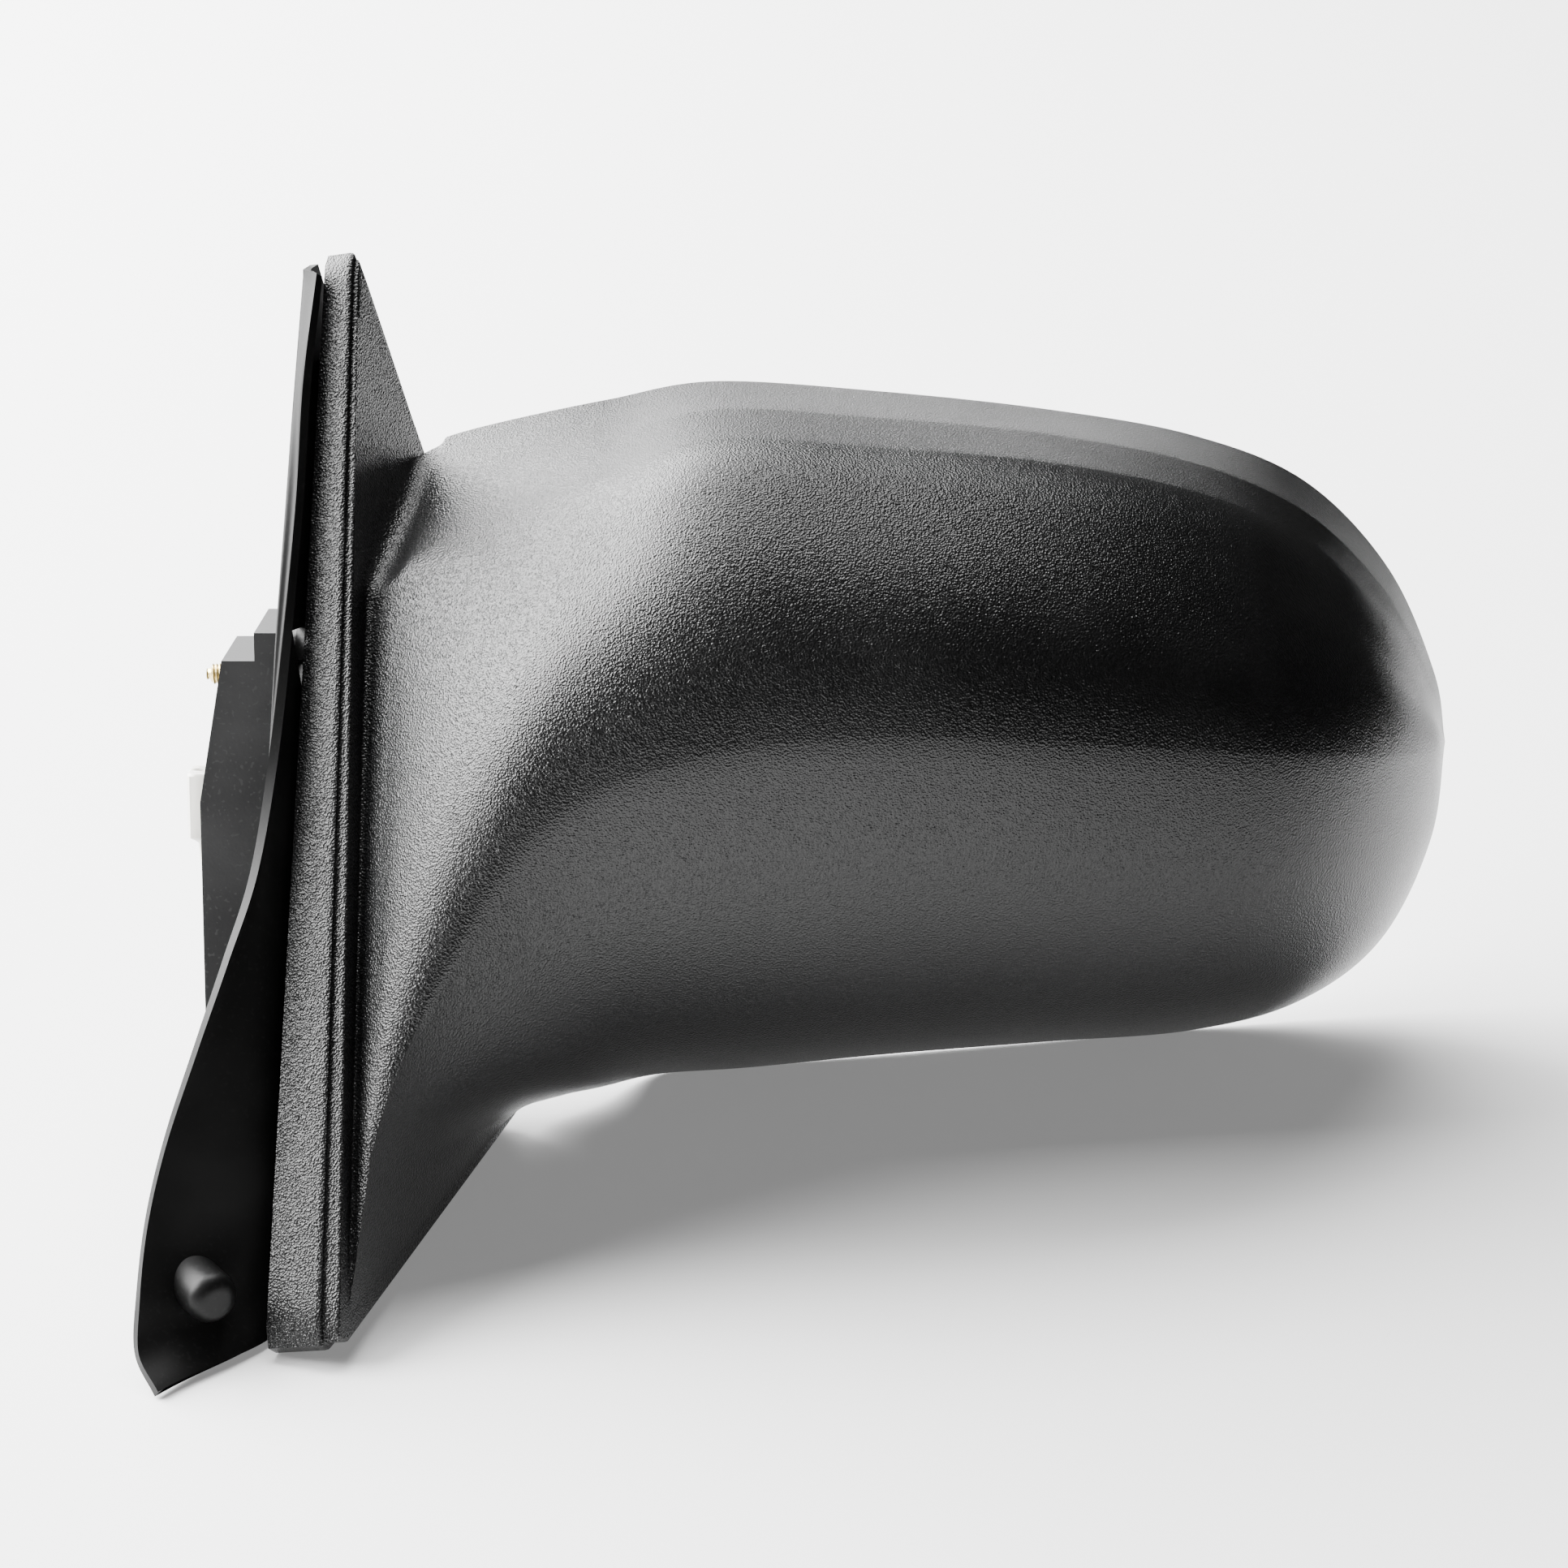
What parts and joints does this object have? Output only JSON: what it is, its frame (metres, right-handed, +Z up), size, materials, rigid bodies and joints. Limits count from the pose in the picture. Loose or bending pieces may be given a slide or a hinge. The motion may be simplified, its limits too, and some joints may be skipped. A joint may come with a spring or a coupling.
{
  "type": "car side mirror",
  "caption": "Left-hand power side mirror for a car: moulded head with triangular sail, gasket and door boss, and a mirror glass tilted both ways by a two-motor screw drive",
  "frame": {"origin": "centre line of the boss on its flat door-side face, at the height where the sail lies against the door", "axes": "+X runs away from the door along the mirror head, +Y from the head's rounded front to its glass, +Z up from the table it lies on; the car's own axes are these turned back 13.9 degrees about X"},
  "size_m": [0.2593, 0.1734, 0.1697],
  "materials": {
    "black_plastic": "fine-grained black",
    "gasket_rubber": "satin black",
    "grey_plastic": "satin dark grey",
    "steel": "zinc plated",
    "yellow_zinc": "yellow passivated zinc",
    "brass": "turned",
    "natural_nylon": "natural white",
    "mirror_silver": "silvered glass",
    "foam": "double-sided foam tape"
  },
  "bodies": {
    "fixed_head": {"housing_shell": "black_plastic", "mounting_base": "grey_plastic", "base_gasket": "gasket_rubber", "support_bracket": "steel", "actuator_case": "grey_plastic", "actuator_cover": "grey_plastic", "motor_vertical": "steel", "motor_horizontal": "steel", "threaded_insert_1": "brass", "threaded_insert_2": "brass", "threaded_insert_3": "brass", "wiring_harness": "gasket_rubber", "cable_grommet": "gasket_rubber", "connector_body": "natural_nylon", "bracket_screw_1": "yellow_zinc", "bracket_screw_2": "yellow_zinc", "bracket_screw_3": "yellow_zinc", "housing_screw_1": "steel", "housing_screw_2": "steel", "actuator_screw_1": "steel", "actuator_screw_2": "steel", "actuator_screw_3": "steel", "cover_screw_il": "steel", "cover_screw_iu": "steel", "cover_screw_ol": "steel", "cover_screw_ou": "steel"},
    "tilt_ring": {"cardan_ring": "grey_plastic"},
    "glass_unit": {"glass_carrier": "grey_plastic", "glass_holder": "black_plastic", "bonding_pad": "foam", "mirror_glass": "mirror_silver"},
    "plunger_v": {"plunger_vertical": "natural_nylon"},
    "plunger_h": {"plunger_horizontal": "natural_nylon"},
    "wheel_v": {"worm_wheel_vertical": "natural_nylon"},
    "wheel_h": {"worm_wheel_horizontal": "natural_nylon"},
    "worm_v": {"worm_vertical": "brass"},
    "worm_h": {"worm_horizontal": "brass"}
  },
  "joints": [
    {"name": "tilt_vertical", "type": "hinge", "parent": "fixed_head", "child": "tilt_ring", "pos_m": [0.17155, 0.04187, -0.00107], "axis": [0.9867, 0.158, -0.039], "range_deg": [-6.5, 6.5]},
    {"name": "tilt_horizontal", "type": "hinge", "parent": "tilt_ring", "child": "glass_unit", "pos_m": [0.17155, 0.04187, -0.00107], "axis": [0, 0.2398, 0.9708], "range_deg": [-6.5, 6.5]},
    {"name": "plunger_v_slide", "type": "slide", "parent": "fixed_head", "child": "plunger_v", "axis": [-0.1628, 0.9579, -0.2366], "range_m": [-0.0036, 0.0036]},
    {"name": "plunger_h_slide", "type": "slide", "parent": "fixed_head", "child": "plunger_h", "axis": [-0.1628, 0.9579, -0.2366], "range_m": [-0.0036, 0.0036]},
    {"name": "wheel_v_turn", "type": "hinge", "parent": "fixed_head", "child": "wheel_v", "pos_m": [0.17497, 0.01456, -0.02523], "axis": [-0.1628, 0.9579, -0.2366], "range_deg": [-206, 206]},
    {"name": "wheel_h_turn", "type": "hinge", "parent": "fixed_head", "child": "wheel_h", "pos_m": [0.14537, 0.01701, 0.00507], "axis": [-0.1628, 0.9579, -0.2366], "range_deg": [-206, 206]},
    {"name": "worm_v_turn", "type": "hinge", "parent": "fixed_head", "child": "worm_v", "pos_m": [0.17497, 0.01753, -0.01319], "axis": [0.9867, 0.158, -0.039], "range_deg": [-4911, 4911]},
    {"name": "worm_h_turn", "type": "hinge", "parent": "fixed_head", "child": "worm_h", "pos_m": [0.1576, 0.01897, 0.00458], "axis": [0, 0.2398, 0.9708], "range_deg": [-4911, 4911]}
  ],
  "couplings": [
    {"joint": "plunger_v_slide", "follows": "tilt_vertical", "m_per_rad": 0.03},
    {"joint": "plunger_h_slide", "follows": "tilt_horizontal", "m_per_rad": -0.03},
    {"joint": "wheel_v_turn", "follows": "tilt_vertical", "ratio": 31.416},
    {"joint": "wheel_h_turn", "follows": "tilt_horizontal", "ratio": -31.416},
    {"joint": "worm_v_turn", "follows": "tilt_vertical", "ratio": -753.98},
    {"joint": "worm_h_turn", "follows": "tilt_horizontal", "ratio": -753.98}
  ]
}
